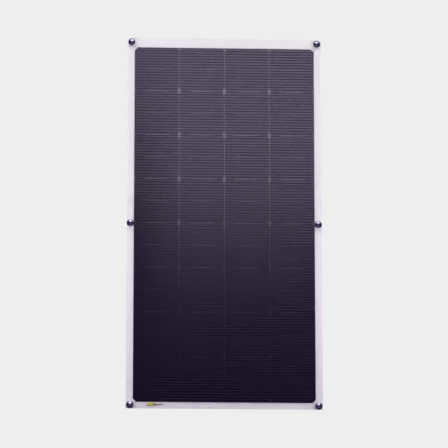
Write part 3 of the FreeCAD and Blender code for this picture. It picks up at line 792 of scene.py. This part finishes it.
def make_cells(half, finishes):
    """Half-cut cells with two rounded corners each."""
    side = WAFER / 2
    arc_start = math.sqrt(INGOT_RADIUS ** 2 - side ** 2)
    corner = evenly(arc_start, side, ARC_STEPS)
    bm = bmesh.new()
    for row in range(ROWS):
        middle = ((ROWS - 1) / 2 - row) * ROW_PITCH
        if not half.holds(middle):
            continue
        for column in range(COLUMNS):
            x = column_x(column)
            for way in (-1, 1):
                start = middle + way * CUT_GAP / 2

                def width_at(z):
                    off = min(abs(z - start), side)
                    reach = min(side, math.sqrt(INGOT_RADIUS ** 2 - off ** 2))
                    return x - reach, x + reach

                low, high = sorted((start, start + way * side))
                extra = [start + way * off for off in corner[:-1]]
                ladder(bm, rungs(low, high, width_at, extra), CELL_Y, LINK_Y - SKIN)
    finish_layer("half_cells", half, bm, [finishes["silicon"]])


# Blank printed chips from left to right: finish, then left, right, bottom, top and corner
# radius in millimetres, measured from the label's lower left corner.
LABEL_CHIPS = (
    ("print_mark", 0.0, 17.3, 0.0, 8.6, 1.5),
    ("print_block", 17.6, 23.0, 1.2, 6.4, 0.8),
    ("print_strip", 23.3, 35.0, 1.4, 5.0, 0.6),
    ("print_line", 35.3, 45.0, 3.4, 5.2, 0.4),
)


def make_label(finishes):
    """The chips in a row: a bright mark, a dark block, a pale strip and a thin line."""
    bm = bmesh.new()
    low = LABEL_LOW
    for index, (_, left, right, bottom, top, corner) in enumerate(LABEL_CHIPS):
        chip(bm, low.x + left * MM, low.x + right * MM, low.z + bottom * MM, low.z + top * MM,
             corner * MM, index)
    materials = [finishes[entry[0]] for entry in LABEL_CHIPS]
    made = piece("type_label", bm, materials, ["type_label"])
    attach(made, "bottom_panel")


def chip(bm, left, right, low, high, corner, material):
    """A thin rounded rectangle as deep as the label."""
    centre = Vector(((left + right) / 2, 0.0, (low + high) / 2))
    outline = rounded_outline(right - left, high - low, corner)
    front = [bm.verts.new((centre.x + x, LABEL_LOW.y, centre.z + z)) for x, z in outline]
    rear = [bm.verts.new((centre.x + x, LABEL_HIGH.y, centre.z + z)) for x, z in outline]
    faces = [bm.faces.new(front), bm.faces.new(rear)]
    count = len(outline)
    for i in range(count):
        j = (i + 1) % count
        faces.append(bm.faces.new((front[i], front[j], rear[j], rear[i])))
    for face in faces:
        face.material_index = material


def rounded_outline(width, height, corner):
    """Points of a rounded rectangle about the origin, anticlockwise."""
    points = []
    for quarter, (sx, sz) in enumerate(((1, 1), (-1, 1), (-1, -1), (1, -1))):
        for i in range(CHIP_STEPS + 1):
            angle = math.pi / 2 * (quarter + i / CHIP_STEPS)
            points.append((sx * (width / 2 - corner) + corner * math.cos(angle),
                           sz * (height / 2 - corner) + corner * math.sin(angle)))
    return points


# ------------------------------------------------------------------ turned parts
def softened(points, radius):
    """Round each corner of a closed outline of (radius, height) pairs; points on the axis stay."""
    made = []
    count = len(points)
    for i, point in enumerate(points):
        here = Vector(point)
        before, after = Vector(points[i - 1]), Vector(points[(i + 1) % count])
        if here.x < 1e-9:
            made.append(point)
            continue
        reach_a = min(radius, (before - here).length * 0.45)
        reach_b = min(radius, (after - here).length * 0.45)
        a = here + (before - here).normalized() * reach_a
        b = here + (after - here).normalized() * reach_b
        for k in range(SOFT_STEPS + 1):
            t = k / SOFT_STEPS
            made.append(tuple((1 - t) ** 2 * a + 2 * t * (1 - t) * here + t ** 2 * b))
    return made


def turned(outline, place, closed=True):
    """Turn an outline of (radius, height) in mm about an axis along -Y through a place."""
    bm = bmesh.new()
    x, z = place
    rings = []
    for radius, height in outline:
        radius, y = radius * MM, FRONT_Y - height * MM
        if radius < 1e-9:
            rings.append([bm.verts.new((x, y, z))])
            continue
        rings.append([bm.verts.new((x + radius * math.cos(2 * math.pi * i / TURN_STEPS), y,
                                    z + radius * math.sin(2 * math.pi * i / TURN_STEPS)))
                      for i in range(TURN_STEPS)])
    pairs = list(zip(rings, rings[1:]))
    if closed:
        pairs.append((rings[-1], rings[0]))
    for low, high in pairs:
        for i in range(TURN_STEPS):
            j = (i + 1) % TURN_STEPS
            corners = [low[i % len(low)], low[j % len(low)], high[j % len(high)],
                       high[i % len(high)]]
            unique = list(dict.fromkeys(corners))
            if len(unique) > 2:
                bm.faces.new(unique)
    return bm


def arc_points(start, end, steps):
    """Points of a circle centred on the turning axis, from start to end."""
    (r0, h0), (r1, h1) = start, end
    centre = (r1 ** 2 + h1 ** 2 - r0 ** 2 - h0 ** 2) / (2 * (h1 - h0))
    radius = math.hypot(r0, h0 - centre)
    a0 = math.atan2(h0 - centre, r0)
    a1 = math.atan2(h1 - centre, r1)
    return [(radius * math.cos(a0 + (a1 - a0) * i / steps),
             centre + radius * math.sin(a0 + (a1 - a0) * i / steps)) for i in range(steps + 1)]


# Outlines of a fastener: (radius, height) in millimetres, from the front of the film.
CAP_FOOT = (10.0, 2.5)          # top of the cap's upright edge
CAP_SHOULDER = (9.6, 3.35)      # between its rim and its dome
CAP_TOP = (3.9, 7.4)
CAP_INSIDE = [CAP_TOP, (1.6, 7.4), (1.6, 6.4), (3.6, 6.4), (3.6, 1.2), (4.5, 1.2), (4.5, 0.2),
              (3.8, 0.2), (3.8, -5.7), (4.2, -6.1), (4.7, -6.1), (4.7, 0.0), (10.0, 0.0)]
KNOB_EDGE = (4.6, 9.0)
KNOB_TOP = (0.0, 10.6)
KNOB_STEM = [(0.0, 1.5), (3.4, 1.5), (3.4, 2.3), (1.5, 2.3), (1.5, 7.5), (4.2, 7.5), (4.6, 7.9)]


def make_cap(level, side, finishes):
    """Domed cap with its barrel."""
    rim = arc_points(CAP_FOOT, CAP_SHOULDER, 4)
    dome = arc_points(CAP_SHOULDER, CAP_TOP, 14)
    bm = turned(softened(CAP_INSIDE, 0.18) + rim[:-1] + dome[:-1], FASTENERS[level, side])
    name = "fastener_housing_%s_%s" % (level, side)
    cap = piece(name, bm, [finishes["chrome"]], ["fastener_housings_" + level])
    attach(cap, level + "_panel")


def make_knob(level, side, finishes):
    """Pull knob on the cap's crown, with its stem and collar."""
    crown = arc_points(KNOB_EDGE, KNOB_TOP, 8)
    bm = turned(softened(KNOB_STEM, 0.15) + crown, FASTENERS[level, side], closed=False)
    node = "pull_knob_%s_%s" % (level, side)
    knob = piece(node, bm, [finishes["chrome"]], [node])
    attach(knob, "knob_%s_%s" % (level, side))


def make_spring(level, side, finishes):
    """Coil spring under the cap, which the collar on the knob's stem presses together."""
    node = "knob_spring_%s_%s" % (level, side)
    low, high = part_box(node)
    middle = (low + high) / 2
    coil = (high.x - low.x) / 2 - SPRING_WIRE
    start, end = high.y - SPRING_WIRE, low.y + SPRING_WIRE
    steps = round(SPRING_TURNS * SPRING_STEPS)
    bm = bmesh.new()
    rings = []
    for i in range(steps + 1):
        angle = 2 * math.pi * i / SPRING_STEPS
        y = start + (end - start) * i / steps
        ring = []
        for k in range(WIRE_SIDES):
            turn = 2 * math.pi * k / WIRE_SIDES
            reach = coil + SPRING_WIRE * math.cos(turn)
            ring.append(bm.verts.new((middle.x + reach * math.cos(angle),
                                      y + SPRING_WIRE * math.sin(turn),
                                      middle.z + reach * math.sin(angle))))
        rings.append(ring)
    bm.faces.new(rings[0])
    bm.faces.new(rings[-1])
    for here, after in zip(rings, rings[1:]):
        for k in range(WIRE_SIDES):
            j = (k + 1) % WIRE_SIDES
            bm.faces.new((here[k], here[j], after[j], after[k]))
    spring = piece(node, bm, [finishes["spring"]], [node])
    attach(spring, level + "_panel")
    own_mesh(spring)


# ------------------------------------------------------------------ carried-over CAD nodes
# Finish by the start of a node's name.
CAD_FINISHES = {
    "lock_rings": "spring", "washers": "washer", "slotted_nuts": "nickel",
    "box_base": "box", "box_lid": "box", "box_gasket": "rubber", "box_adhesive": "tape",
    "lid_screws": "screw", "contact_rails": "brass", "bypass_diodes": "diode",
    "bus_leads": "foil", "cable_gland": "gland", "gland_seals": "rubber", "gland_nut": "gland",
}


def paint_cad_nodes(finishes):
    """Give every CAD node that stays in view its own procedural finish."""
    for name, node in frame["nodes"].items():
        for start, finish in CAD_FINISHES.items():
            if name.startswith(start):
                for slot in node.material_slots:
                    slot.material = finishes[finish]


# ------------------------------------------------------------------ studio
BACKGROUND = (0.855, 0.855, 0.855, 1.0)
ROOM = (0.022, 0.016, 0.045, 1.0)
FLOOR_Z = -2.4
FLOOR_EMISSION = 0.92           # brings the floor up to the background
LAYER_NAMES = ("front_film", "encapsulant", "backsheet", "carrier_sheet", "dark_mask",
               "interconnects", "half_cells", "type_label")
SHEEN_X = 0.1                   # panel whose reflection is the film's sheen
SHEEN_Y = -0.9
SHEEN_WIDTH = 1.6
SHEEN_LOW = 0.2
SHEEN_HIGH = 1.35
SHEEN_RADIANCE = 2.35
CROWN_POWER = 26.0              # of the other lights, in watts
GLOW_POWER = 20.0
FLOOR_GLOW_POWER = 2.0
HIGH_POWER = 24.6
LOW_POWER = 10.5
SIDE_GLOW_POWER = 15.0
REAR_POWER = 46.0


def make_world():
    """Flat pale background; the room that lights and mirrors see is a dark blue one."""
    world = bpy.data.worlds.new("studio")
    bpy.context.scene.world = world
    world.use_nodes = True
    tree = world.node_tree
    tree.nodes.clear()
    output = tree.nodes.new("ShaderNodeOutputWorld")
    mix = tree.nodes.new("ShaderNodeMixShader")
    seen = tree.nodes.new("ShaderNodeBackground")
    room = tree.nodes.new("ShaderNodeBackground")
    path = tree.nodes.new("ShaderNodeLightPath")
    seen.inputs["Color"].default_value = BACKGROUND
    room.inputs["Color"].default_value = ROOM
    tree.links.new(path.outputs["Is Camera Ray"], mix.inputs["Fac"])
    tree.links.new(room.outputs[0], mix.inputs[1])
    tree.links.new(seen.outputs[0], mix.inputs[2])
    tree.links.new(mix.outputs[0], output.inputs["Surface"])


def make_floor():
    """Wide pale floor well below the sheet and below the camera."""
    made = Finish("studio_floor", (0.8, 0.8, 0.8), 0.9)
    made.color(made.noise(0.8, 4.0), (0.78, 0.78, 0.78), (0.82, 0.82, 0.82))
    made.put("Emission Color", BACKGROUND)
    made.put("Emission Strength", FLOOR_EMISSION)
    bm = bmesh.new()
    bmesh.ops.create_grid(bm, x_segments=8, y_segments=8, size=60.0,
                          matrix=Matrix.Translation((0.0, 0.0, FLOOR_Z)))
    mesh = bpy.data.meshes.new("floor")
    bm.to_mesh(mesh)
    bm.free()
    mesh.materials.append(made.material)
    floor = bpy.data.objects.new("floor", mesh)
    bpy.context.scene.collection.objects.link(floor)
    floor.visible_glossy = False
    floor.visible_diffuse = False


def area_light(name, place, width, height, power, target=(0.0, 0.0, 0.0), diffuse=True,
               glossy=True, only=None, color=(1.0, 1.0, 1.0)):
    """A panel that the camera doesn't see, aimed at a target and lighting some pieces only."""
    data = bpy.data.lights.new(name, "AREA")
    data.shape = "RECTANGLE"
    data.size = width
    data.size_y = height
    data.energy = power
    data.color = color
    made = bpy.data.objects.new(name, data)
    bpy.context.scene.collection.objects.link(made)
    made.location = place
    aim = Vector(target) - Vector(place)
    made.rotation_mode = "QUATERNION"
    made.rotation_quaternion = aim.to_track_quat("-Z", "Y")
    made.visible_camera = False
    made.visible_diffuse = diffuse
    made.visible_glossy = glossy
    if only is not None:
        made.light_linking.receiver_collection = only


def gather(name, starts):
    """A collection of the pieces made here whose names start so."""
    group = bpy.data.collections.new(name)
    for made in bpy.data.objects:
        if made.name.startswith(starts) and made.name not in frame["nodes"]:
            group.objects.link(made)
    return group


def make_lights():
    """A panel for the film's sheen, three for the caps, and soft ones for the border and rear."""
    sheet = gather("sheet_layers", LAYER_NAMES)
    caps = gather("fastener_caps", ("fastener_housing", "pull_knob"))
    rear = gather("rear_side", ("backsheet",))
    for node in frame["nodes"].values():
        rear.objects.link(node)
    middle, height = (SHEEN_LOW + SHEEN_HIGH) / 2, SHEEN_HIGH - SHEEN_LOW
    area_light("sheen", (SHEEN_X, SHEEN_Y, middle), SHEEN_WIDTH, height,
               SHEEN_RADIANCE * math.pi * SHEEN_WIDTH * height,
               target=(SHEEN_X, 0.0, middle), diffuse=False, only=sheet)
    area_light("crown", (0.1, -1.3, 2.3), 2.6, 1.8, CROWN_POWER, diffuse=False, only=caps)
    area_light("crown_glow", (0.1, -1.6, 1.7), 5.0, 3.4, GLOW_POWER, diffuse=False,
               only=caps, color=(0.72, 0.68, 1.0))
    area_light("floor_glow", (0.0, -1.6, -1.2), 2.4, 0.9, FLOOR_GLOW_POWER, diffuse=False,
               only=caps, color=(0.70, 0.58, 1.0))
    for side in (-1, 1):
        area_light("high_fill", (side * 1.0, -0.5, 1.6), 0.8, 0.8, HIGH_POWER, glossy=False)
        area_light("low_fill", (side * 1.0, -0.5, -0.24), 0.8, 0.8, LOW_POWER, glossy=False,
                   color=(1.0, 0.92, 1.01))
        area_light("side_glow", (side * 3.2, -3.2, -1.3), 3.0, 3.0, SIDE_GLOW_POWER,
                   diffuse=False, only=sheet)
        area_light("rear_fill", (side * 1.8, 2.4, 0.6), 2.4, 3.2, REAR_POWER,
                   target=(0.0, 0.0, 0.2), only=rear)


# ------------------------------------------------------------------ build
def build():
    bpy.context.scene.view_settings.view_transform = "Standard"
    make_camera()
    make_world()
    make_floor()
    finishes = make_materials()
    for half in HALVES:
        make_front_film(half, finishes)
        make_resin(half, finishes)
        make_backsheet(half, finishes)
        make_carrier(half, finishes)
        make_mask(half, finishes)
        make_links(half, finishes)
        make_cells(half, finishes)
    make_label(finishes)
    for level, side in FASTENERS:
        make_cap(level, side, finishes)
        make_knob(level, side, finishes)
        make_spring(level, side, finishes)
    paint_cad_nodes(finishes)
    make_lights()


build()
